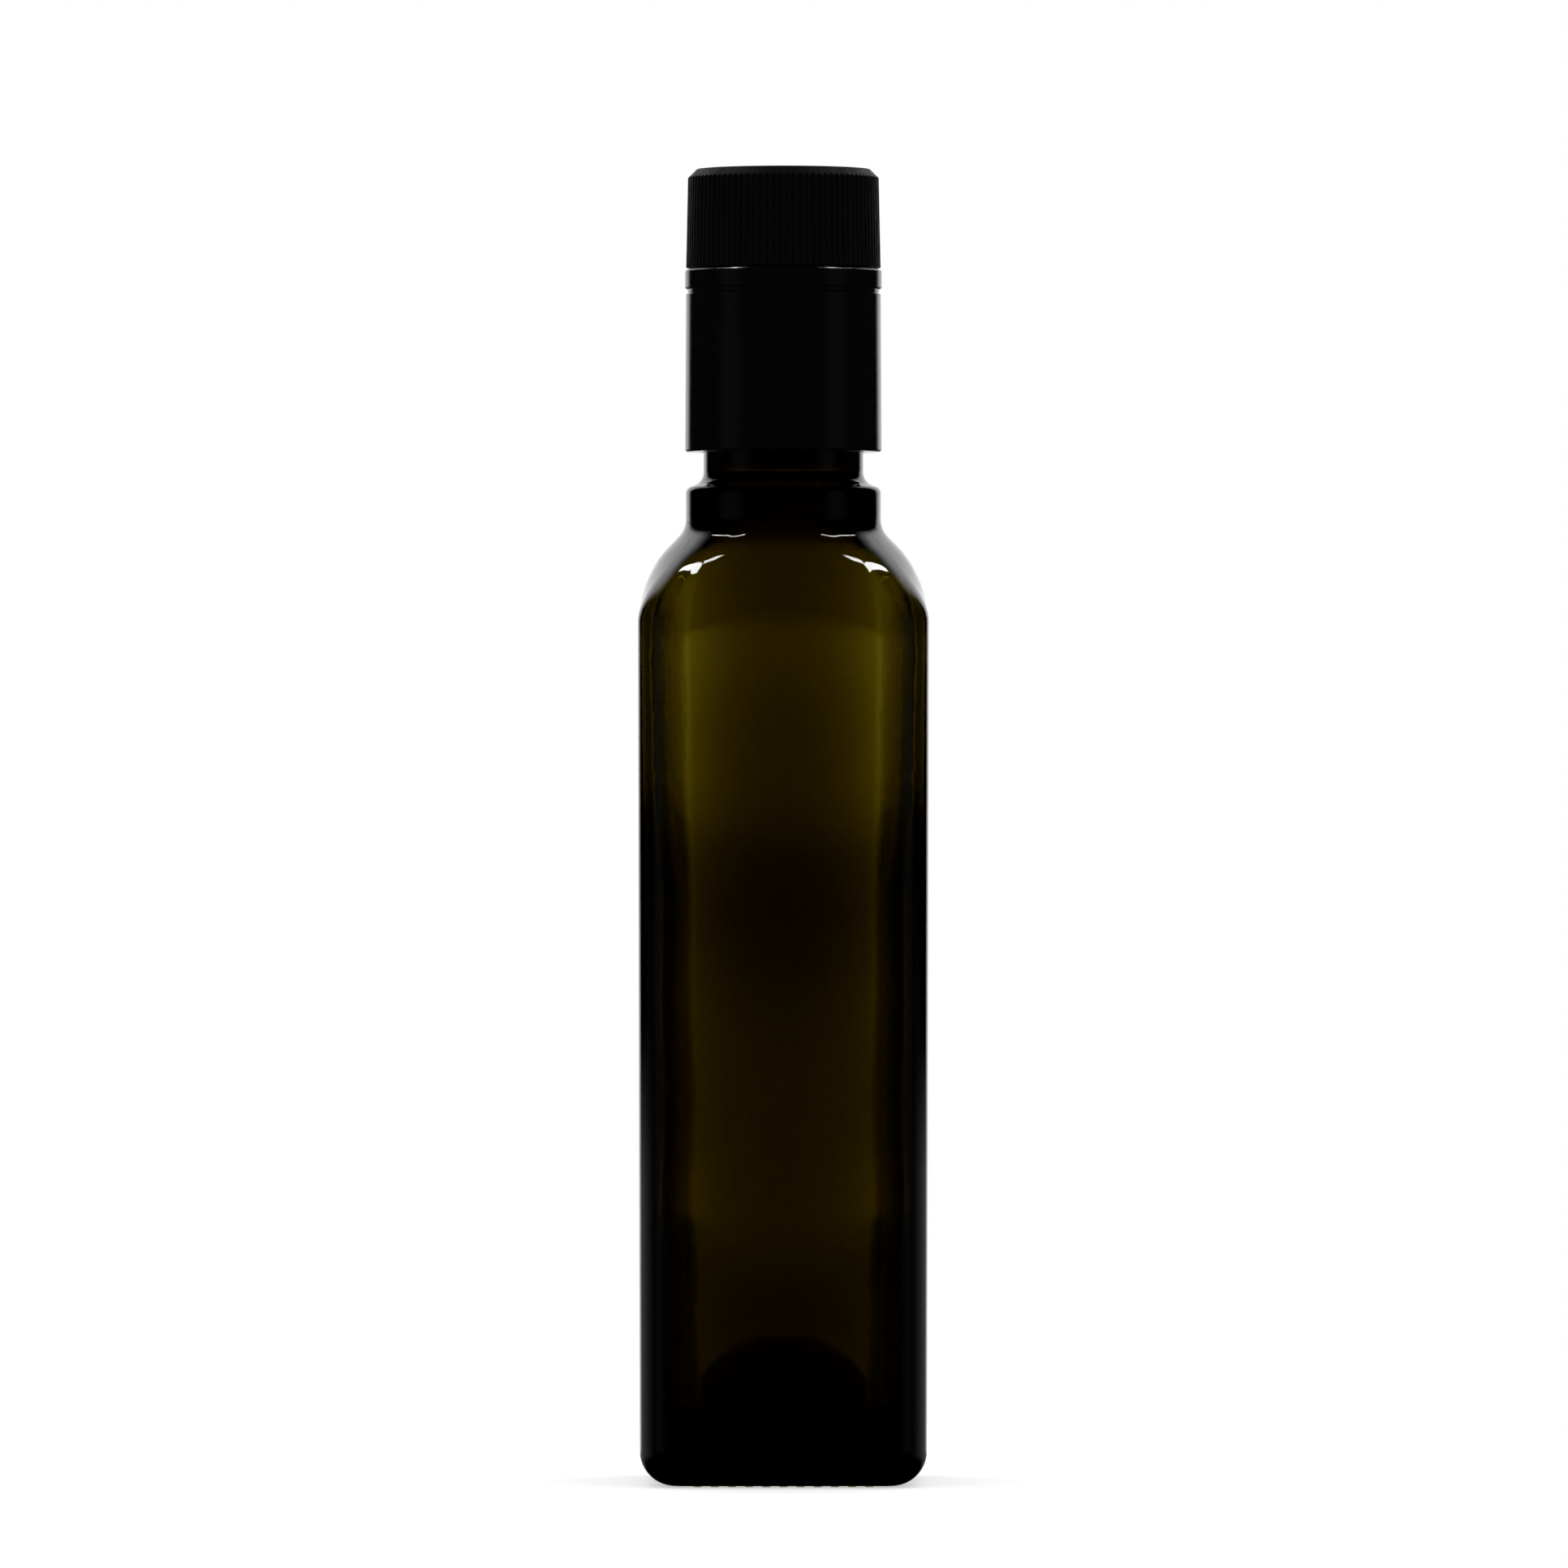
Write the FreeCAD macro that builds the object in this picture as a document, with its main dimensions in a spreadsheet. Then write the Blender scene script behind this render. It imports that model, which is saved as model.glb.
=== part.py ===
# Square glass oil bottle with a black pourer closure, as a parametric document.
# Millimetres, +Z up, origin at the middle of the base, front face towards -Y.
#
# The glass stands on a stippled bearing ring and is a square, faintly tapered body
# whose pillow shoulder turns from square to round below a thick collar and a neck.
# The closure is a pourer insert in the neck, a sleeve over the finish, a tamper band
# and a knurled screw cap.

import FreeCAD, Part
import os
import Sketcher
from FreeCAD import Placement, Rotation, Vector

doc = FreeCAD.newDocument("SquareOilBottle")

# Driving sizes: one named cell each, in millimetres unless the name says otherwise.
SIZES = [
    # glass body
    ("base_width", 46.0),
    ("spring_flare", 0.6),
    ("corner_radius", 7.0),
    ("heel_radius", 5.6),
    ("spring_height", 138.7),
    ("shoulder_radius", 18.0),
    ("wall", 2.0),
    ("wall_gain", 0.9),
    ("face_bow", 1.0),
    ("cavity_corner_radius", 6.6),
    ("cavity_heel_radius", 3.4),
    ("base_thickness", 9.0),
    # push-up under the base and the dome it raises inside
    ("bearing_width", 3.4),
    ("push_up_depth", 18.0),
    ("push_up_corner_radius", 7.0),
    ("dome_margin", 1.3),
    ("dome_rise", 15.0),
    # bearing stipples
    ("stipple_pitch", 2.75),
    ("stipple_width", 1.3),
    ("stipple_depth", 0.15),
    ("stipple_inset", 0.5),
    ("stipple_length", 2.0),
    # recessed label panels
    ("panel_margin", 6.5),
    ("panel_foot", 12.0),
    ("panel_drop", 2.7),
    ("panel_arch", 4.2),
    ("panel_depth", 0.25),
    # collar and neck
    ("neck_diameter", 25.8),
    ("collar_step", 2.85),
    ("collar_blend_radius", 4.0),
    ("collar_height", 5.0),
    ("collar_edge_radius", 1.1),
    ("ledge_rise", 1.1),
    ("neck_blend_radius", 2.2),
    ("neck_length", 28.6),
    ("bore_step", 1.4),
    ("collar_bore_blend", 7.0),
    ("neck_wall", 3.3),
    ("bore_taper", 2.5),
    # closure
    ("fit_clearance", 0.2),
    ("insert_drop", 2.6),
    ("insert_bevel", 1.0),
    ("insert_flange", 1.2),
    ("neck_show", 4.8),
    ("sleeve_wall", 2.65),
    ("sleeve_flare", 0.13),
    ("sleeve_roof", 0.7),
    ("edge_bevel", 0.3),
    ("spigot_wall", 0.7),
    ("band_wall", 1.9),
    ("band_step", 0.45),
    ("band_foot_height", 0.5),
    ("band_height", 3.75),
    ("band_gap", 0.3),
    ("cap_height", 15.85),
    ("cap_wall", 1.7),
    ("cap_taper", 0.3),
    ("cap_chamfer", 1.4),
    ("cap_roof", 1.6),
    ("knurl_count", 90),
    ("knurl_depth", 0.35),
    ("knurl_width", 0.8),
]

sheet = doc.addObject("Spreadsheet::Sheet", "Sizes")
for row, (alias, value) in enumerate(SIZES, 1):
    sheet.set(f"A{row}", alias)
    sheet.set(f"B{row}", str(value))
    sheet.setAlias(f"B{row}", alias)
doc.recompute()

# Heights and radii that several pieces share, as expressions of the named sizes.
GLASS_FOOT = "Sizes.stipple_depth"
BASE_HALF = "(Sizes.base_width / 2)"
SPRING_HALF = "((Sizes.base_width + Sizes.spring_flare) / 2)"
FACE_LEAN = "atan(Sizes.spring_flare / 2 / Sizes.spring_height)"
NECK_RADIUS = "(Sizes.neck_diameter / 2)"
BORE_RADIUS = f"({NECK_RADIUS} - Sizes.neck_wall)"
COLLAR_BORE = f"({BORE_RADIUS} + Sizes.bore_step)"
COLLAR_RADIUS = f"({NECK_RADIUS} + Sizes.collar_step)"


def shoulder_rise(half, throat, arc, hollow):
    """Lean where the shoulder's two arcs meet, and its height above the spring line."""
    reach = f"(({throat}) + ({hollow}) - ({half}) + ({arc}))"
    lean = f"acos({reach} / (({arc}) + ({hollow})))"
    return lean, f"((({arc}) + ({hollow})) * sin({lean}))"


# Outside: the shoulder ends at the collar's foot; ledge, neck and lip follow above it.
SHOULDER = (SPRING_HALF, COLLAR_RADIUS, "Sizes.shoulder_radius", "Sizes.collar_blend_radius")
COLLAR_FOOT = f"(Sizes.spring_height + {shoulder_rise(*SHOULDER)[1]})"
COLLAR_TOP = f"({COLLAR_FOOT} + Sizes.collar_height)"
LEDGE_TOP = f"({COLLAR_TOP} + Sizes.ledge_rise)"
NECK_TOP = f"({LEDGE_TOP} + Sizes.neck_length)"

# The cavity follows the outside one wall inwards and ends in the collar's bore. Blown
# glass sets unevenly: each side is thicker along its middle by the bow, and thicker
# low down by the gain. Rows: share of the spring height, of the gain and of the bow.
WALL_STATIONS = [
    (0.12, 1.6, 0.3),
    (0.18, 1.5, 0.5),
    (0.26, 1.2, 0.4),
    (0.33, 0.8, 0.7),
    (0.43, 1.05, 0.5),
    (0.55, 0.9, 0.8),
    (0.66, 1.05, 1.1),
    (0.74, 0.6, 1.05),
    (0.82, 0.15, 1.1),
    (0.91, 0, 1.1),
    (1, 0, 1),
]
CAVITY_FOOT_HALF = f"({BASE_HALF} - Sizes.wall - 1.6 * Sizes.wall_gain)"
CAVITY_FLAT = f"({SPRING_HALF} - Sizes.wall - Sizes.cavity_corner_radius)"
CAVITY_SHOULDER = (
    f"({SPRING_HALF} - Sizes.wall - Sizes.face_bow)",
    COLLAR_BORE,
    "(Sizes.shoulder_radius - Sizes.wall)",
    "Sizes.collar_bore_blend",
)
THROAT = f"(Sizes.spring_height + {shoulder_rise(*CAVITY_SHOULDER)[1]})"

# Base: flat bearing ring inside the heel, and the push-up inside the ring.
RING_HALF = f"({BASE_HALF} - Sizes.heel_radius)"
PUSH_UP_HALF = f"({RING_HALF} - Sizes.bearing_width)"
DOME_HALF = f"({PUSH_UP_HALF} + Sizes.dome_margin)"

# Label panels.
PANEL_HALF = f"({BASE_HALF} - Sizes.panel_margin)"
PANEL_RISE = "(Sizes.spring_height - Sizes.panel_drop)"
PANEL_CROWN = f"({PANEL_RISE} + Sizes.panel_arch)"
PANEL_ARCH_RADIUS = f"(({PANEL_HALF}^2 + Sizes.panel_arch^2) / (2 * Sizes.panel_arch))"

# Closure: each piece seats on the one before it.
PLUG_RADIUS = f"({BORE_RADIUS} - Sizes.fit_clearance / 2)"
FLANGE_TOP = f"({NECK_TOP} + Sizes.insert_flange)"
SLEEVE_FOOT = f"({LEDGE_TOP} + Sizes.neck_show)"
INSERT_FOOT = f"({SLEEVE_FOOT} - Sizes.insert_drop)"
SLEEVE_BORE = f"({NECK_RADIUS} + Sizes.fit_clearance)"
SLEEVE_TOP = f"({FLANGE_TOP} + Sizes.sleeve_roof)"
SLEEVE_TOP_RADIUS = f"({SLEEVE_BORE} + Sizes.sleeve_wall)"
SLEEVE_FOOT_RADIUS = f"({SLEEVE_TOP_RADIUS} + Sizes.sleeve_flare)"
SPIGOT_RADIUS = f"({SLEEVE_BORE} + Sizes.spigot_wall)"
SPIGOT_FIT = f"({SPIGOT_RADIUS} + Sizes.fit_clearance)"
BAND_RADIUS = f"({SPIGOT_FIT} + Sizes.band_wall)"
BAND_FOOT_RADIUS = f"({BAND_RADIUS} - Sizes.band_step)"
BAND_STEP = f"({SLEEVE_TOP} + Sizes.band_foot_height)"
BAND_TOP = f"({SLEEVE_TOP} + Sizes.band_height)"
CAP_FOOT = f"({BAND_TOP} + Sizes.band_gap)"
CAP_TOP = f"({CAP_FOOT} + Sizes.cap_height)"
CAP_FOOT_RADIUS = f"({SPIGOT_FIT} + Sizes.cap_wall)"
CAP_TOP_RADIUS = f"({CAP_FOOT_RADIUS} - Sizes.cap_taper)"
SPIGOT_TOP = f"({CAP_TOP} - Sizes.cap_roof)"

# The four sides of a section in counter-clockwise order: outward normals.
SIDE_NORMALS = [Vector(0, -1, 0), Vector(1, 0, 0), Vector(0, 1, 0), Vector(-1, 0, 0)]
UP = Vector(0, 0, 1)


def number(expression):
    """Present value of an expression, as a plain number."""
    value = sheet.evalExpression(expression)
    return float(getattr(value, "Value", value))


def new_body(label):
    body = doc.addObject("PartDesign::Body", label)
    body.Label = label
    body.Placement = Placement()
    return body


def origin_item(body, role):
    return next(item for item in body.Origin.OriginFeatures if item.Role == role)


def new_sketch(body, name, role, offset=None):
    """Sketch on one of the body's origin planes, moved along its normal by an expression."""
    sketch = body.newObject("Sketcher::SketchObject", name)
    sketch.AttachmentSupport = (origin_item(body, role), [""])
    sketch.MapMode = "FlatFace"
    if offset:
        sketch.setExpression("AttachmentOffset.Base.z", offset)
    return sketch


def dimension(sketch, kind, geometry, point, expression, sign=1):
    """Horizontal or vertical distance from the sketch origin to a point, driven by an expression."""
    value = number(expression)
    ends = (-1, 1, geometry, point) if sign > 0 else (geometry, point, -1, 1)
    index = sketch.addConstraint(Sketcher.Constraint(kind, *ends, value))
    sketch.setExpression(f"Constraints[{index}]", expression)


def profile(body, name, corners):
    """Closed straight-sided half profile: each corner is a (radius, height) pair of expressions."""
    sketch = new_sketch(body, name, "XZ_Plane")
    points = [Vector(number(radius), number(height), 0) for radius, height in corners]
    for start, end in zip(points, points[1:] + points[:1]):
        sketch.addGeometry(Part.LineSegment(start, end), False)
    for index, (radius, height) in enumerate(corners):
        previous = (index - 1) % len(corners)
        sketch.addConstraint(Sketcher.Constraint("Coincident", previous, 2, index, 1))
        if points[index].x == 0:
            sketch.addConstraint(Sketcher.Constraint("PointOnObject", index, 1, -2))
        else:
            dimension(sketch, "DistanceX", index, 1, radius)
        dimension(sketch, "DistanceY", index, 1, height)
    return sketch


def turned(body, name, corners, kind="PartDesign::Revolution"):
    """Full turn of a half profile about the vertical axis, adding or cutting."""
    sketch = profile(body, f"{name}Profile", corners)
    turn = body.newObject(kind, name)
    turn.Profile = sketch
    turn.ReferenceAxis = (sketch, ["V_Axis"])
    turn.Angle = 360
    doc.recompute()
    return turn


def ring_edges(feature, radius, height):
    """Names of the circular edges about the vertical axis at a radius and a height."""
    names = []
    for index, edge in enumerate(feature.Shape.Edges, 1):
        ends = [vertex.Point for vertex in edge.Vertexes]
        level = all(abs(point.z - height) < 0.01 for point in ends)
        round_it = all(abs(Vector(point.x, point.y, 0).Length - radius) < 0.01 for point in ends)
        if level and round_it and edge.Length > 0.1:
            names.append(f"Edge{index}")
    return names


def fillet(body, name, feature, edges, radius):
    rounding = body.newObject("PartDesign::Fillet", name)
    rounding.Base = (feature, edges)
    rounding.setExpression("Radius", radius)
    doc.recompute()
    return rounding


def chamfer(body, name, feature, edges, size):
    bevel = body.newObject("PartDesign::Chamfer", name)
    bevel.Base = (feature, edges)
    bevel.setExpression("Size", size)
    doc.recompute()
    return bevel


def square(body, name, height, half):
    """Level square outline centred on the axis."""
    sketch = new_sketch(body, name, "XY_Plane", height)
    reach = number(half)
    corners = [(-1, -1), (1, -1), (1, 1), (-1, 1)]
    points = [Vector(right * reach, back * reach, 0) for right, back in corners]
    for start, end in zip(points, points[1:] + points[:1]):
        sketch.addGeometry(Part.LineSegment(start, end), False)
    for index, (right, back) in enumerate(corners):
        sketch.addConstraint(Sketcher.Constraint("Coincident", index, 2, (index + 1) % 4, 1))
        dimension(sketch, "DistanceX", index, 1, half, right)
        dimension(sketch, "DistanceY", index, 1, half, back)
    return sketch


def section(body, name, height, half, flat, bulge=None):
    """Level square section with soft corners.

    half is the distance from the axis to the middle of a side and flat is half the
    side's length between its corner arcs. The sides are straight, or arcs of radius
    bulge, hollow where it is negative; each corner arc runs on tangent to its sides.
    """
    sketch = new_sketch(body, name, "XY_Plane", height)
    if bulge:
        level = f"(({half}) - ({bulge}) * (1 - sqrt(1 - (({flat}) / ({bulge}))^2)))"
    else:
        level = half
    reach = number(half)
    chord = number(flat)
    drop = number(level)
    for normal in SIDE_NORMALS:
        along = UP.cross(normal)
        start = normal * drop - along * chord
        end = normal * drop + along * chord
        if bulge:
            apex = normal * reach
            sketch.addGeometry(Part.Arc(start, apex, end), False)
        else:
            sketch.addGeometry(Part.LineSegment(start, end), False)
        next_normal = along
        next_start = next_normal * drop - UP.cross(next_normal) * chord
        diagonal = (normal + next_normal).normalize()
        tangent = (end - normal * (reach - number(bulge))).normalize() if bulge else normal
        # The corner centre lies on the diagonal and on the side's own normal at the joint.
        scale = end.cross(tangent).z / diagonal.cross(tangent).z
        centre = diagonal * scale
        radius = (end - centre).Length
        middle = centre + diagonal * radius
        sketch.addGeometry(Part.Arc(end, middle, next_start), False)
    # A hollow arc is kept anticlockwise too, so its first point is the side's last.
    first, last = (2, 1) if bulge and number(bulge) < 0 else (1, 2)
    for side, normal in enumerate(SIDE_NORMALS):
        line = 2 * side
        corner = line + 1
        axis = -2 if normal.x == 0 else -1
        across = "DistanceX" if normal.x == 0 else "DistanceY"
        outward = "DistanceY" if normal.x == 0 else "DistanceX"
        sign = 1 if normal.x + normal.y > 0 else -1
        along = UP.cross(normal)
        forward = 1 if along.x + along.y > 0 else -1
        sketch.addConstraint(Sketcher.Constraint("Symmetric", line, 1, line, 2, axis))
        dimension(sketch, across, line, last, flat, forward)
        dimension(sketch, outward, line, last, level, sign)
        if bulge and side == 0:
            radius = f"abs({bulge})"
            index = sketch.addConstraint(Sketcher.Constraint("Radius", line, number(radius)))
            sketch.setExpression(f"Constraints[{index}]", radius)
        elif bulge:
            sketch.addConstraint(Sketcher.Constraint("Equal", 0, line))
        sketch.addConstraint(Sketcher.Constraint("Tangent", line, last, corner, 1))
        sketch.addConstraint(Sketcher.Constraint("Coincident", corner, 2, (line + 2) % 8, first))
    return sketch


def loft(body, name, sections, kind="PartDesign::AdditiveLoft", ruled=False):
    """Loft through level sections, adding or cutting."""
    blend = body.newObject(kind, name)
    blend.Profile = sections[0]
    blend.Sections = sections[1:]
    blend.Ruled = ruled
    doc.recompute()
    return blend


def square_to_round(body, name, kind, shape, flat, hollowing="0", start=None):
    """Pillow shoulder: square at the spring line, round at the throat above it.

    shape is (half, throat, arc, hollow): each side's profile is a convex arc of radius
    arc, upright at the spring line at half, then a concave arc of radius hollow, upright
    again at the throat radius. flat is half a side's length at the spring line, and
    hollowing the curvature of a side there. It grows from the face start where one is
    given.
    """
    half, throat, arc, hollow = shape
    lean, rise = shoulder_rise(*shape)
    steps = [("convex", share) for share in (0, 0.06, 0.18, 0.36, 0.58, 0.8, 1)]
    steps += [("hollow", share) for share in (0.6, 0.25, 0)]
    sections = []
    for index, (part, share) in enumerate(steps):
        angle = f"({lean} * {share})"
        if part == "convex":
            reach = f"(({half}) - ({arc}) * (1 - cos({angle})))"
            climb = f"(({arc}) * sin({angle}))"
        else:
            reach = f"(({throat}) + ({hollow}) * (1 - cos({angle})))"
            climb = f"({rise} - ({hollow}) * sin({angle}))"
        height = f"Sizes.spring_height + {climb}"
        if index == 0 and start:
            sections.append(start)
            continue
        progress = number(f"{climb} / {rise}")
        roundness = progress * progress * (3 - 2 * progress)
        bulge = f"(1 / ({roundness:.4f} / {reach} - {1 - roundness:.4f} * ({hollowing})))"
        chord = f"({flat} + ({reach} * 0.5 - {flat}) * {roundness:.4f})"
        sections.append(section(body, f"{name}Section{index}", height, reach, chord, bulge))
    return loft(body, name, sections, kind)


def dome(body, name, kind, half, foot, rise):
    """Dome with an elliptic profile, from a square foot to a round crown."""
    sections = []
    for index, angle in enumerate((0, 15, 30, 45, 60, 75)):
        share = f"cos({angle})"
        reach = f"({half} * {share})"
        height = f"{foot} + {rise} * sin({angle})"
        flat = f"(({half} - Sizes.push_up_corner_radius) * {share})"
        if index == 0:
            sections.append(section(body, f"{name}Section{index}", height, reach, flat))
            continue
        progress = angle / 75
        roundness = progress * progress * (3 - 2 * progress)
        bulge = f"({reach} / {roundness:.4f})"
        chord = f"({flat} + ({reach} * 0.5 - {flat}) * {roundness:.4f})"
        sections.append(section(body, f"{name}Section{index}", height, reach, chord, bulge))
    return loft(body, name, sections, kind)


def level_edges(feature, height):
    """Names of the edges that lie level at a height."""
    names = []
    for index, edge in enumerate(feature.Shape.Edges, 1):
        if all(abs(vertex.Point.z - height) < 0.001 for vertex in edge.Vertexes):
            names.append(f"Edge{index}")
    return names


def side_faces(feature):
    """Names of the upright faces of a block."""
    faces = enumerate(feature.Shape.Faces, 1)
    return [f"Face{index}" for index, face in faces if abs(face.normalAt(0, 0).z) < 0.1]


def upright_edges(feature):
    """Names of the edges that climb from foot to head of a block."""
    names = []
    for index, edge in enumerate(feature.Shape.Edges, 1):
        ends = [vertex.Point for vertex in edge.Vertexes]
        if len(ends) == 2 and abs(ends[0].z - ends[1].z) > 0.9 * edge.Length:
            names.append(f"Edge{index}")
    return names


def level_face(feature, height):
    """Name of the level face at a height."""
    for index, face in enumerate(feature.Shape.Faces, 1):
        if all(abs(vertex.Point.z - height) < 0.001 for vertex in face.Vertexes):
            return f"Face{index}"
    raise RuntimeError(f"no level face at {height}")


def polar_pattern(body, name, feature, count):
    """Copies of a feature, evenly spaced about the vertical axis."""
    pattern = body.newObject("PartDesign::PolarPattern", name)
    pattern.Originals = [feature]
    pattern.Axis = (origin_item(body, "Z_Axis"), [""])
    pattern.Angle = 360
    pattern.setExpression("Occurrences", count)
    body.Tip = pattern
    doc.recompute()
    return pattern


# ---------------------------------------------------------------- bottle
bottle = new_body("bottle")

# Outside: drafted square block with rounded corners, pillow shoulder, collar and neck.
block = bottle.newObject("PartDesign::Pad", "BodyBlock")
block.Profile = square(bottle, "BodyFoot", GLASS_FOOT, BASE_HALF)
block.setExpression("Length", f"Sizes.spring_height - {GLASS_FOOT}")
doc.recompute()
lean = bottle.newObject("PartDesign::Draft", "BodyLean")
lean.Base = (block, side_faces(block))
lean.NeutralPlane = (origin_item(bottle, "XY_Plane"), [""])
lean.Reversed = True
lean.setExpression("Angle", FACE_LEAN)
doc.recompute()
block = fillet(bottle, "BodyCorners", lean, upright_edges(lean), "Sizes.corner_radius")
square_to_round(
    bottle, "Shoulder", "PartDesign::AdditiveLoft", SHOULDER,
    f"({SPRING_HALF} - Sizes.corner_radius)",
    start=(block, [level_face(block, number("Sizes.spring_height"))]))
glass = turned(
    bottle,
    "CollarAndNeck",
    [
        ("0", COLLAR_FOOT),
        (COLLAR_RADIUS, COLLAR_FOOT),
        (COLLAR_RADIUS, COLLAR_TOP),
        (NECK_RADIUS, LEDGE_TOP),
        (NECK_RADIUS, NECK_TOP),
        ("0", NECK_TOP),
    ],
)
glass = fillet(
    bottle, "CollarEdge", glass,
    ring_edges(glass, number(COLLAR_RADIUS), number(COLLAR_TOP)), "Sizes.collar_edge_radius")
glass = fillet(
    bottle, "NeckBlend", glass,
    ring_edges(glass, number(NECK_RADIUS), number(LEDGE_TOP)), "Sizes.neck_blend_radius")
fillet(
    bottle, "Heel", glass, level_edges(glass, number(GLASS_FOOT)),
    "min(Sizes.heel_radius; 0.9 * Sizes.corner_radius)")

# Recessed label panel with an arched head, on each of the four faces. Its floor leans
# with the face, so the step round it is the same height all the way.
outline = new_sketch(bottle, "PanelOutline", "XZ_Plane", f"{BASE_HALF} - Sizes.panel_depth")
outline.AttachmentOffset = Placement(
    outline.AttachmentOffset.Base, Rotation(Vector(1, 0, 0), number(FACE_LEAN)))
outline.setExpression("AttachmentOffset.Rotation.Angle", FACE_LEAN)
panel_half = number(PANEL_HALF)
panel_foot = number("Sizes.panel_foot")
panel_rise = number(PANEL_RISE)
panel_corners = [
    Vector(-panel_half, panel_foot, 0),
    Vector(panel_half, panel_foot, 0),
    Vector(panel_half, panel_rise, 0),
    Vector(-panel_half, panel_rise, 0),
]
panel_crown = Vector(0, number(PANEL_CROWN), 0)
outline.addGeometry(Part.LineSegment(panel_corners[0], panel_corners[1]), False)
outline.addGeometry(Part.LineSegment(panel_corners[1], panel_corners[2]), False)
outline.addGeometry(Part.Arc(panel_corners[2], panel_crown, panel_corners[3]), False)
outline.addGeometry(Part.LineSegment(panel_corners[3], panel_corners[0]), False)
for side in range(4):
    outline.addConstraint(Sketcher.Constraint("Coincident", side, 2, (side + 1) % 4, 1))
outline.addConstraint(Sketcher.Constraint("Symmetric", 0, 1, 0, 2, -2))
outline.addConstraint(Sketcher.Constraint("Symmetric", 2, 1, 2, 2, -2))
dimension(outline, "DistanceX", 0, 2, PANEL_HALF)
dimension(outline, "DistanceY", 0, 2, "Sizes.panel_foot")
dimension(outline, "DistanceX", 2, 1, PANEL_HALF)
dimension(outline, "DistanceY", 2, 1, PANEL_RISE)
crown_index = outline.addConstraint(Sketcher.Constraint("Radius", 2, number(PANEL_ARCH_RADIUS)))
outline.setExpression(f"Constraints[{crown_index}]", PANEL_ARCH_RADIUS)
doc.recompute()
panel = bottle.newObject("PartDesign::Pocket", "LabelPanel")
panel.Profile = outline
panel.Reversed = True
panel.setExpression("Length", "Sizes.panel_depth + 1")
doc.recompute()
polar_pattern(bottle, "LabelPanels", panel, "4")

# Inside: the square cavity with its rounded foot, its own shoulder, and the bore that
# narrows from the collar to the neck.
heel = "min(Sizes.cavity_heel_radius; 0.9 * Sizes.cavity_corner_radius)"
heel_flat = f"({CAVITY_FOOT_HALF} - Sizes.cavity_corner_radius)"
heel_sections = [
    section(
        bottle, f"CavityHeelSection{angle}",
        f"Sizes.base_thickness + {heel} * (1 - cos({angle}))",
        f"({CAVITY_FOOT_HALF} - {heel} * (1 - sin({angle})))", heel_flat)
    for angle in (0, 25, 55, 90)
]
loft(bottle, "CavityHeel", heel_sections, "PartDesign::SubtractiveLoft")
hollowing = f"(2 * Sizes.face_bow / ({CAVITY_FLAT}^2 + Sizes.face_bow^2))"
stations = [
    section(
        bottle, "CavityFoot", f"Sizes.base_thickness + {heel}", CAVITY_FOOT_HALF, heel_flat),
]
for index, (share, gain, bow) in enumerate(WALL_STATIONS, 1):
    outside = f"({BASE_HALF} + Sizes.spring_flare / 2 * {share})"
    middle = f"({outside} - Sizes.wall - {gain} * Sizes.wall_gain - {bow} * Sizes.face_bow)"
    flat = f"({CAVITY_FLAT} - {gain} * Sizes.wall_gain)"
    stations.append(section(
        bottle, f"CavityStation{index}", f"Sizes.spring_height * {share}", middle, flat,
        f"(-1 / ({bow} * {hollowing}))"))
loft(bottle, "Cavity", stations, "PartDesign::SubtractiveLoft")
square_to_round(
    bottle, "CavityShoulder", "PartDesign::SubtractiveLoft", CAVITY_SHOULDER, CAVITY_FLAT,
    hollowing)
turned(
    bottle,
    "Bore",
    [
        ("0", THROAT),
        (COLLAR_BORE, THROAT),
        (COLLAR_BORE, f"{COLLAR_TOP} - Sizes.bore_taper"),
        (BORE_RADIUS, COLLAR_TOP),
        (BORE_RADIUS, f"{NECK_TOP} + 1"),
        ("0", f"{NECK_TOP} + 1"),
    ],
    "PartDesign::Groove",
)

# The base is pushed up, which raises a dome on the floor inside.
dome(
    bottle, "FloorDome", "PartDesign::AdditiveLoft", DOME_HALF, "Sizes.base_thickness",
    "Sizes.dome_rise")
dome(
    bottle, "PushUp", "PartDesign::SubtractiveLoft", PUSH_UP_HALF, GLASS_FOOT,
    "Sizes.push_up_depth")

# Bearing stipples: short bars across the ring that the bottle stands on, in a row along
# each side of the base.
bar_sketch = new_sketch(bottle, "StippleOutline", "XY_Plane", GLASS_FOOT)
bar_count = f"floor(2 * ({BASE_HALF} - Sizes.corner_radius) / Sizes.stipple_pitch)"
row_length = f"(Sizes.stipple_pitch * ({bar_count} - 1))"
bar_left = f"({row_length} / 2 + Sizes.stipple_width / 2)"
bar_right = f"({row_length} / 2 - Sizes.stipple_width / 2)"
bar_outer = f"({RING_HALF} - Sizes.stipple_inset)"
bar_inner = f"({bar_outer} - Sizes.stipple_length)"
bar_corners = [
    (bar_left, bar_outer),
    (bar_right, bar_outer),
    (bar_right, bar_inner),
    (bar_left, bar_inner),
]
bar_points = [Vector(-number(across), -number(out), 0) for across, out in bar_corners]
for start, end in zip(bar_points, bar_points[1:] + bar_points[:1]):
    bar_sketch.addGeometry(Part.LineSegment(start, end), False)
for side, (across, out) in enumerate(bar_corners):
    bar_sketch.addConstraint(Sketcher.Constraint("Coincident", side, 2, (side + 1) % 4, 1))
    dimension(bar_sketch, "DistanceX", side, 1, across, -1)
    dimension(bar_sketch, "DistanceY", side, 1, out, -1)
bar = bottle.newObject("PartDesign::Pad", "Stipple")
bar.Profile = bar_sketch
bar.Reversed = True
bar.setExpression("Length", "Sizes.stipple_depth")
doc.recompute()
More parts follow.
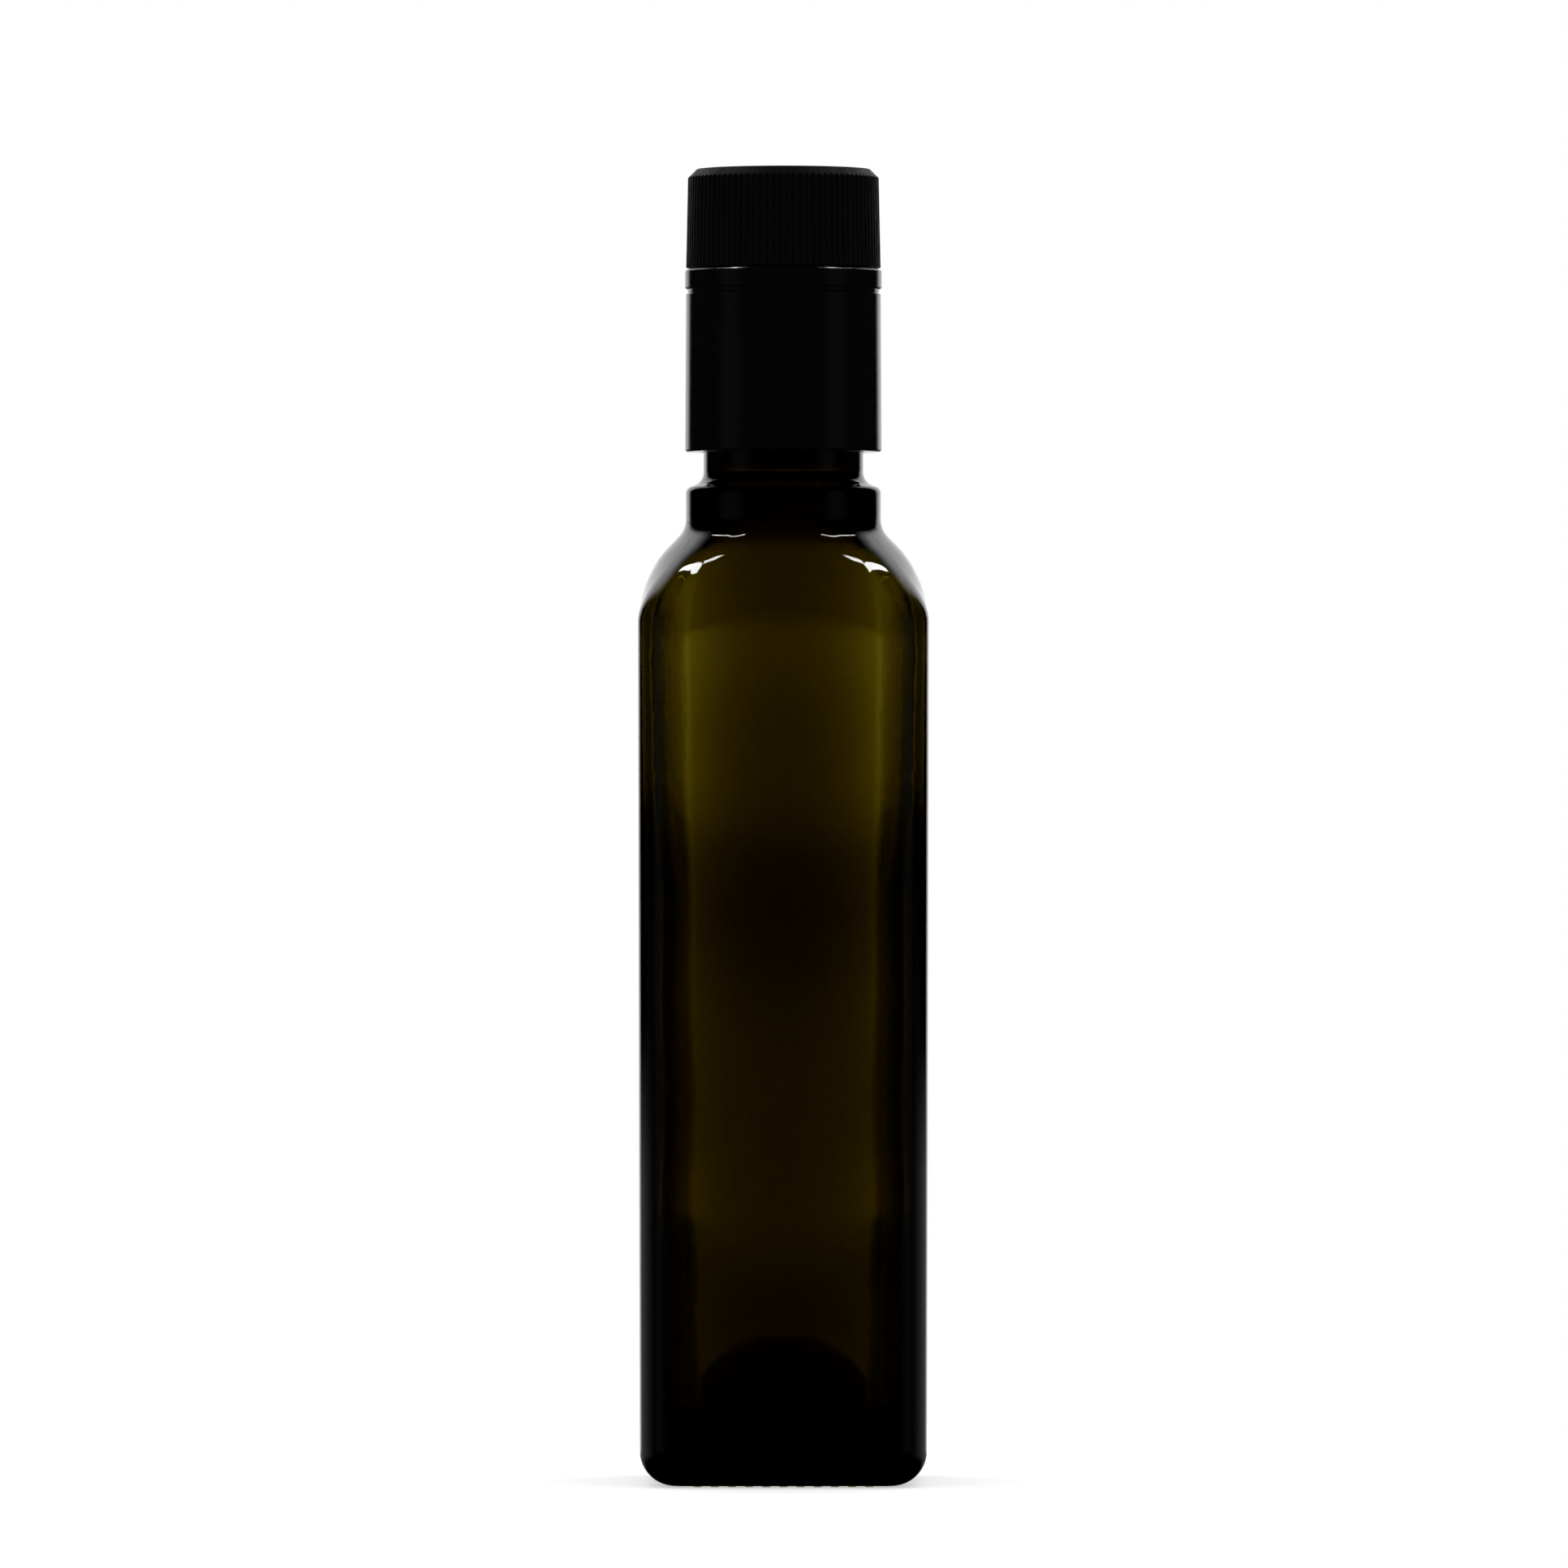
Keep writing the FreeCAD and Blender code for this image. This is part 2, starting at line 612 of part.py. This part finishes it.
row = bottle.newObject("PartDesign::LinearPattern", "StippleRow")
row.Direction = (bar_sketch, ["H_Axis"])
row.setExpression("Length", row_length)
row.setExpression("Occurrences", bar_count)
around = bottle.newObject("PartDesign::PolarPattern", "StippleSides")
around.Axis = (origin_item(bottle, "Z_Axis"), [""])
around.Angle = 360
around.Occurrences = 4
stipples = bottle.newObject("PartDesign::MultiTransform", "Stipples")
stipples.Originals = [bar]
stipples.Transformations = [row, around]
bottle.Tip = stipples
doc.recompute()

# ---------------------------------------------------------------- pour insert
# Plug in the neck bore, hung from a flange that lies on the lip of the glass.
pour_insert = new_body("pour_insert")
plug = turned(
    pour_insert,
    "Plug",
    [
        ("0", INSERT_FOOT),
        (PLUG_RADIUS, INSERT_FOOT),
        (PLUG_RADIUS, NECK_TOP),
        (NECK_RADIUS, NECK_TOP),
        (NECK_RADIUS, FLANGE_TOP),
        ("0", FLANGE_TOP),
    ],
)
chamfer(
    pour_insert, "PlugEdge", plug,
    ring_edges(plug, number(PLUG_RADIUS), number(INSERT_FOOT)), "Sizes.insert_bevel")

# ---------------------------------------------------------------- sleeve
# Skirt round the finish of the glass, closed over the insert by a spigot for the cap.
sleeve = new_body("sleeve")
skirt = turned(
    sleeve,
    "Skirt",
    [
        (SLEEVE_BORE, SLEEVE_FOOT),
        (SLEEVE_FOOT_RADIUS, SLEEVE_FOOT),
        (SLEEVE_TOP_RADIUS, SLEEVE_TOP),
        (SPIGOT_RADIUS, SLEEVE_TOP),
        (SPIGOT_RADIUS, SPIGOT_TOP),
        ("0", SPIGOT_TOP),
        ("0", FLANGE_TOP),
        (SLEEVE_BORE, FLANGE_TOP),
    ],
)
skirt = chamfer(
    sleeve, "SkirtFootEdge", skirt,
    ring_edges(skirt, number(SLEEVE_FOOT_RADIUS), number(SLEEVE_FOOT)),
    "Sizes.edge_bevel")
chamfer(
    sleeve, "SkirtTopEdge", skirt,
    ring_edges(skirt, number(SLEEVE_TOP_RADIUS), number(SLEEVE_TOP)),
    "Sizes.edge_bevel")

# ---------------------------------------------------------------- tamper band
# Loose ring round the spigot that stands on the sleeve on a stepped-in foot.
tamper_band = new_body("tamper_band")
ring = turned(
    tamper_band,
    "Ring",
    [
        (SPIGOT_FIT, SLEEVE_TOP),
        (BAND_FOOT_RADIUS, SLEEVE_TOP),
        (BAND_FOOT_RADIUS, BAND_STEP),
        (BAND_RADIUS, BAND_STEP),
        (BAND_RADIUS, BAND_TOP),
        (SPIGOT_FIT, BAND_TOP),
    ],
)
chamfer(
    tamper_band, "RingEdges", ring,
    ring_edges(ring, number(BAND_RADIUS), number(BAND_STEP))
    + ring_edges(ring, number(BAND_RADIUS), number(BAND_TOP)),
    "Sizes.edge_bevel")

# ---------------------------------------------------------------- screw cap
# Shell that rests on the spigot, with a bevelled rim and upright V grooves for grip.
screw_cap = new_body("screw_cap")
turned(
    screw_cap,
    "Shell",
    [
        (SPIGOT_FIT, CAP_FOOT),
        (CAP_FOOT_RADIUS, CAP_FOOT),
        (CAP_TOP_RADIUS, f"{CAP_TOP} - Sizes.cap_chamfer"),
        (f"{CAP_TOP_RADIUS} - Sizes.cap_chamfer", CAP_TOP),
        ("0", CAP_TOP),
        ("0", SPIGOT_TOP),
        (SPIGOT_FIT, SPIGOT_TOP),
    ],
)
groove_sections = []
for groove_name, groove_height, wall_radius in (
    ("GrooveFoot", CAP_FOOT, CAP_FOOT_RADIUS),
    ("GrooveHead", CAP_TOP, CAP_TOP_RADIUS),
):
    triangle = new_sketch(screw_cap, groove_name, "XY_Plane", groove_height)
    floor = f"{wall_radius} - Sizes.knurl_depth"
    mouth = f"{wall_radius} + Sizes.knurl_depth"
    spread = "Sizes.knurl_width"
    tips = [
        Vector(number(floor), 0, 0),
        Vector(number(mouth), -number(spread), 0),
        Vector(number(mouth), number(spread), 0),
    ]
    for start, end in zip(tips, tips[1:] + tips[:1]):
        triangle.addGeometry(Part.LineSegment(start, end), False)
    for side in range(3):
        triangle.addConstraint(Sketcher.Constraint("Coincident", side, 2, (side + 1) % 3, 1))
    triangle.addConstraint(Sketcher.Constraint("PointOnObject", 0, 1, -1))
    triangle.addConstraint(Sketcher.Constraint("Symmetric", 1, 1, 1, 2, -1))
    dimension(triangle, "DistanceX", 0, 1, floor)
    dimension(triangle, "DistanceX", 1, 1, mouth)
    dimension(triangle, "DistanceY", 1, 2, spread)
    groove_sections.append(triangle)
groove = loft(screw_cap, "GripGroove", groove_sections, "PartDesign::SubtractiveLoft", ruled=True)
polar_pattern(screw_cap, "GripGrooves", groove, "Sizes.knurl_count")

# ---------------------------------------------------------------- check and write
doc.recompute()
for item in doc.Objects:
    if "Invalid" in item.State or "Error" in item.State:
        raise RuntimeError(f"{item.Label} did not compute: {item.State}")

os.makedirs("parts", exist_ok=True)
for body in (bottle, pour_insert, sleeve, tamper_band, screw_cap):
    shape = body.Shape
    if shape.isNull() or not shape.isValid() or len(shape.Solids) != 1:
        raise RuntimeError(f"{body.Label} is not one valid solid")
    shape.exportStep(f"parts/{body.Label}.step")
    print(f"{body.Label}: {shape.Volume / 1000:.2f} cm3, box {shape.BoundBox}")
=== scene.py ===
"""Looks for the square oil bottle: dark olive glass and a black pourer closure in a white studio."""

import math

import bpy
from mathutils import Matrix, Vector

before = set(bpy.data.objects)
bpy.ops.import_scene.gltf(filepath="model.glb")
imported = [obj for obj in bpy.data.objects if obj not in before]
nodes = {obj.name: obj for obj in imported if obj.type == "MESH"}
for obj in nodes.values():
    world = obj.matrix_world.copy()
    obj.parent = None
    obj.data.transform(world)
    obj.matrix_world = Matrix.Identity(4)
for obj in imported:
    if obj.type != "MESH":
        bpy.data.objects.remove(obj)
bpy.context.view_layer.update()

WHITE = (1, 1, 1, 1)
GLASS_IOR = 1.52
# The glass takes away, per metre, its density times what its colour lacks to white.
GLASS_COLOUR = (0.601, 0.553, 0.06, 1)
GLASS_DENSITY = 1880
PLASTIC_IOR = 1.49
PLASTIC_DARK = (0.0008, 0.0008, 0.0011, 1)
PLASTIC_LIGHT = (0.0018, 0.0017, 0.0020, 1)
FLOOR_COLOUR = (0.8, 0.8, 0.8, 1)
FLOOR_RADIUS = 0.2
FLOOR_SEGMENTS = 96
# What the camera sees on top of the lit floor, so that it shows white.
FLOOR_LIFT = 0.5
# World strengths: what lights the bottle, and what shows through the glass.
DAYLIGHT = 0.8
FAR_TABLE = 0.2
WINGS = 0.4
SHOULDER_HEIGHT = 0.15
# The right strip, from the shoulder: the way to it and the way that it runs. The left one mirrors it.
STRIP_WAY = Vector((0.41, 0.28, 0.87))
STRIP_RUN = Vector((0.11, 0.44, -0.20))
STRIP_WIDTH = 0.018
STRIP_LENGTH = 0.5
STRIP_RADIANCE = 14.0
CAMERA_PLACE = (0.0001, -2.15, 0.1126)
CAMERA_SENSOR = 36
CAMERA_LENS = 305.8

# The two colour sockets and the two number sockets of a Mix node.
COLOUR_A, COLOUR_B = 6, 7
NUMBER_A, NUMBER_B = 2, 3


# ---------------------------------------------------------------- node helpers
def new_material(name):
    """A material with an empty node tree and its output node."""
    material = bpy.data.materials.new(name)
    material.use_nodes = True
    tree = material.node_tree
    tree.nodes.clear()
    return material, tree, tree.nodes.new("ShaderNodeOutputMaterial")


def wire(tree, source, output, target, target_input):
    """A link from one node's output to another node's input."""
    tree.links.new(source.outputs[output], target.inputs[target_input])


def feed(tree, socket, value):
    """Sets a socket to a number, or links it to a (node, output) pair."""
    if isinstance(value, tuple):
        tree.links.new(value[0].outputs[value[1]], socket)
    else:
        socket.default_value = value


def math_node(tree, operation, *operands):
    """A Math node; each operand is a number or a (node, output) pair."""
    node = tree.nodes.new("ShaderNodeMath")
    node.operation = operation
    for index, operand in enumerate(operands):
        feed(tree, node.inputs[index], operand)
    return node, 0


def product(tree, first, *others):
    """All the given values multiplied together."""
    for other in others:
        first = math_node(tree, "MULTIPLY", first, other)
    return first


def remap(tree, source, span, levels):
    """The first level below the span, the last one above it, and a smooth change between them."""
    node = tree.nodes.new("ShaderNodeMapRange")
    node.interpolation_type = "SMOOTHSTEP"
    for name, value in zip(("From Min", "From Max", "To Min", "To Max"), (*span, *levels)):
        node.inputs[name].default_value = value
    feed(tree, node.inputs["Value"], source)
    return node, "Result"


def noise(tree, scale, detail, stretch=(1, 1, 1)):
    """Noise in object coordinates, its scale per metre, squeezed along the axes by stretch."""
    coordinates = tree.nodes.new("ShaderNodeTexCoord")
    mapping = tree.nodes.new("ShaderNodeMapping")
    mapping.inputs["Scale"].default_value = stretch
    texture = tree.nodes.new("ShaderNodeTexNoise")
    texture.inputs["Scale"].default_value = scale
    texture.inputs["Detail"].default_value = detail
    wire(tree, coordinates, "Object", mapping, "Vector")
    wire(tree, mapping, "Vector", texture, "Vector")
    return texture, "Fac"


def bump(tree, height, distance, strength, below=None):
    """A Bump node on height, laid over the one below."""
    node = tree.nodes.new("ShaderNodeBump")
    node.inputs["Strength"].default_value = strength
    node.inputs["Distance"].default_value = distance
    feed(tree, node.inputs["Height"], height)
    if below is not None:
        wire(tree, below, "Normal", node, "Normal")
    return node


# ---------------------------------------------------------------- materials
def glass_material():
    """Dark olive bottle glass: clear skin with a moulded ripple, colour from absorption."""
    material, tree, output = new_material("bottle_glass")
    shader = tree.nodes.new("ShaderNodeBsdfPrincipled")
    shader.inputs["Base Color"].default_value = WHITE
    shader.inputs["Transmission Weight"].default_value = 1
    shader.inputs["IOR"].default_value = GLASS_IOR
    rough = remap(tree, noise(tree, scale=260, detail=3), span=(0.35, 0.75), levels=(0.0, 0.03))
    feed(tree, shader.inputs["Roughness"], rough)
    waves = noise(tree, scale=55, detail=2, stretch=(1, 1, 0.35))
    swell = bump(tree, waves, distance=0.0002, strength=0.25)
    ripple = noise(tree, scale=420, detail=2)
    skin = bump(tree, ripple, distance=0.000006, strength=0.25, below=swell)
    wire(tree, skin, "Normal", shader, "Normal")
    volume = tree.nodes.new("ShaderNodeVolumeAbsorption")
    volume.inputs["Color"].default_value = GLASS_COLOUR
    volume.inputs["Density"].default_value = GLASS_DENSITY
    wire(tree, shader, "BSDF", output, "Surface")
    wire(tree, volume, "Volume", output, "Volume")
    return material


def plastic_material(name, roughness, grain_depth, specular):
    """Black moulded plastic with a fine spark-eroded grain and an uneven gloss."""
    material, tree, output = new_material(name)
    shader = tree.nodes.new("ShaderNodeBsdfPrincipled")
    tint = tree.nodes.new("ShaderNodeMix")
    tint.data_type = "RGBA"
    tint.inputs[COLOUR_A].default_value = PLASTIC_DARK
    tint.inputs[COLOUR_B].default_value = PLASTIC_LIGHT
    feed(tree, tint.inputs[0], noise(tree, scale=90, detail=4))
    wire(tree, tint, 2, shader, "Base Color")
    shader.inputs["IOR"].default_value = PLASTIC_IOR
    shader.inputs["Specular IOR Level"].default_value = specular
    rough = remap(tree, noise(tree, scale=700, detail=3), span=(0.3, 0.7), levels=roughness)
    feed(tree, shader.inputs["Roughness"], rough)
    grain = bump(tree, noise(tree, scale=5200, detail=2), distance=grain_depth, strength=0.5)
    wire(tree, grain, "Normal", shader, "Normal")
    wire(tree, shader, "BSDF", output, "Surface")
    return material


glass = glass_material()
sleeve_plastic = plastic_material(
    "sleeve_plastic_black", roughness=(0.07, 0.13), grain_depth=0.000001, specular=0.5
)
cap_plastic = plastic_material(
    "cap_plastic_black", roughness=(0.45, 0.58), grain_depth=0.000006, specular=0.3
)
insert_plastic = plastic_material(
    "insert_plastic_black", roughness=(0.35, 0.45), grain_depth=0.000003, specular=0.4
)
for name, material in (
    ("bottle", glass),
    ("pour_insert", insert_plastic),
    ("sleeve", sleeve_plastic),
    ("tamper_band", sleeve_plastic),
    ("screw_cap", cap_plastic),
):
    for slot in nodes[name].material_slots:
        slot.material = material


# ---------------------------------------------------------------- studio
def by_ray(tree, seen, glossy, through, diffuse):
    """Strength by ray: seen by the camera, mirrored, seen through glass, or lighting."""
    path = tree.nodes.new("ShaderNodeLightPath")
    level = diffuse
    for flag, value in (("Is Glossy Ray", glossy), ("Is Transmission Ray", through), ("Is Camera Ray", seen)):
        mix = tree.nodes.new("ShaderNodeMix")
        wire(tree, path, flag, mix, 0)
        feed(tree, mix.inputs[NUMBER_A], level)
        feed(tree, mix.inputs[NUMBER_B], value)
        level = (mix, 0)
    return level


def mirrored_room(tree, direction, aside):
    """What mirrored rays see: backdrop, table beside the bottle and a faint glow from the room's sides."""
    off_ground = remap(tree, (direction, "Z"), span=(-0.10, -0.05), levels=(0.0, 1.0))

    narrow = remap(tree, aside, span=(0.44, 0.64), levels=(1.0, 0.0))
    top = remap(tree, (direction, "Z"), span=(0.55, 0.75), levels=(1.0, 0.0))
    behind = remap(tree, (direction, "Y"), span=(0.0, 0.3), levels=(0.0, 1.0))
    backdrop = product(tree, narrow, top, behind, off_ground)

    below = remap(tree, (direction, "Z"), span=(-0.034, -0.020), levels=(1.0, 0.0))
    beside = remap(tree, (direction, "Y"), span=(-0.3, 0.8), levels=(0.0, 0.24))
    distant = remap(tree, (direction, "Z"), span=(-0.35, -0.10), levels=(0.0, 1.0))
    table = product(tree, below, beside, distant)

    rising = remap(tree, (direction, "Y"), span=(-0.75, -0.45), levels=(0.0, 0.045))
    falling = remap(tree, (direction, "Y"), span=(-0.35, -0.05), levels=(1.0, 0.0))
    upright = remap(tree, (direction, "Z"), span=(0.15, 0.35), levels=(1.0, 0.0))
    glow = product(tree, rising, falling, upright, off_ground)

    return math_node(tree, "MAXIMUM", math_node(tree, "MAXIMUM", backdrop, table), glow)


def through_glass(tree, direction, aside):
    """What rays through the glass see: white, save for the far table and the wings beside the backdrop."""
    over_table = remap(tree, (direction, "Z"), span=(-0.13, -0.04), levels=(FAR_TABLE, 1.0))
    close_by = remap(tree, (direction, "Z"), span=(-0.30, -0.18), levels=(1.0, 0.0))
    low = math_node(tree, "MAXIMUM", over_table, close_by)

    # The wings stand behind the bottle only.
    outward = remap(tree, aside, span=(0.5, 0.8), levels=(1.0, WINGS))
    sideways = remap(tree, (direction, "Y"), span=(0.1, 0.35), levels=(1.0, 0.0))
    wings = math_node(tree, "MAXIMUM", outward, sideways)

    return math_node(tree, "MULTIPLY", low, wings)


def studio_world():
    """A white backdrop over a pale table that goes on to the sides, in a room dark in front and overhead."""
    world = bpy.data.worlds.new("studio")
    world.use_nodes = True
    tree = world.node_tree
    tree.nodes.clear()
    output = tree.nodes.new("ShaderNodeOutputWorld")
    background = tree.nodes.new("ShaderNodeBackground")
    background.inputs["Color"].default_value = WHITE
    coordinates = tree.nodes.new("ShaderNodeTexCoord")
    direction = tree.nodes.new("ShaderNodeSeparateXYZ")
    wire(tree, coordinates, "Generated", direction, "Vector")
    aside = math_node(tree, "ABSOLUTE", (direction, "X"))
    mirrored = mirrored_room(tree, direction, aside)
    through = through_glass(tree, direction, aside)
    level = by_ray(tree, seen=1.0, glossy=mirrored, through=through, diffuse=DAYLIGHT)
    feed(tree, background.inputs["Strength"], level)
    wire(tree, background, "Background", output, "Surface")
    bpy.context.scene.world = world


def floor_material():
    """A pale table top that shows white to the camera and keeps the bottle's shadow."""
    material, tree, output = new_material("pale_floor")
    diffuse = tree.nodes.new("ShaderNodeBsdfDiffuse")
    diffuse.inputs["Color"].default_value = FLOOR_COLOUR
    path = tree.nodes.new("ShaderNodeLightPath")
    emission = tree.nodes.new("ShaderNodeEmission")
    lift = math_node(tree, "MULTIPLY", (path, "Is Camera Ray"), FLOOR_LIFT)
    feed(tree, emission.inputs["Strength"], lift)
    lifted = tree.nodes.new("ShaderNodeAddShader")
    wire(tree, diffuse, "BSDF", lifted, 0)
    wire(tree, emission, "Emission", lifted, 1)
    # Clear to mirrored rays and to rays through glass, which are both glossy: they see the world instead.
    clear = tree.nodes.new("ShaderNodeBsdfTransparent")
    unless_glossy = tree.nodes.new("ShaderNodeMixShader")
    wire(tree, path, "Is Glossy Ray", unless_glossy, 0)
    wire(tree, lifted, "Shader", unless_glossy, 1)
    wire(tree, clear, "BSDF", unless_glossy, 2)
    wire(tree, unless_glossy, "Shader", output, "Surface")
    return material


def floor(radius, segments):
    """A round disc under the bottle."""
    turn = 2 * math.pi / segments
    rim = [(radius * math.cos(turn * k), radius * math.sin(turn * k), 0) for k in range(segments)]
    mesh = bpy.data.meshes.new("floor")
    mesh.from_pydata(rim, [], [tuple(range(segments))])
    mesh.materials.append(floor_material())
    item = bpy.data.objects.new("floor", mesh)
    bpy.context.scene.collection.objects.link(item)


def strip_light(name, side):
    """A narrow lamp a metre from the shoulder, above the right side (1) or the left (-1)."""
    data = bpy.data.lights.new(name, "AREA")
    data.shape = "RECTANGLE"
    data.size = STRIP_WIDTH
    data.size_y = STRIP_LENGTH
    data.energy = STRIP_RADIANCE * STRIP_WIDTH * STRIP_LENGTH * math.pi
    item = bpy.data.objects.new(name, data)
    mirror = Vector((side, 1, 1))
    back = (STRIP_WAY * mirror).normalized()
    run = STRIP_RUN * mirror
    long_axis = (run - run.dot(back) * back).normalized()
    across = long_axis.cross(back)
    turn = Matrix((across, long_axis, back)).transposed()
    item.matrix_world = Matrix.Translation(Vector((0, 0, SHOULDER_HEIGHT)) + back) @ turn.to_4x4()
    bpy.context.scene.collection.objects.link(item)


studio_world()
floor(FLOOR_RADIUS, FLOOR_SEGMENTS)
strip_light("left_strip", -1)
strip_light("right_strip", 1)

# ---------------------------------------------------------------- camera
camera_data = bpy.data.cameras.new("camera")
camera_data.sensor_width = CAMERA_SENSOR
camera_data.lens = CAMERA_LENS
camera_data.clip_end = 50
camera = bpy.data.objects.new("camera", camera_data)
camera.location = CAMERA_PLACE
camera.rotation_euler = (math.radians(90), 0, 0)
bpy.context.scene.collection.objects.link(camera)
bpy.context.scene.camera = camera
bpy.context.scene.view_settings.view_transform = "Standard"
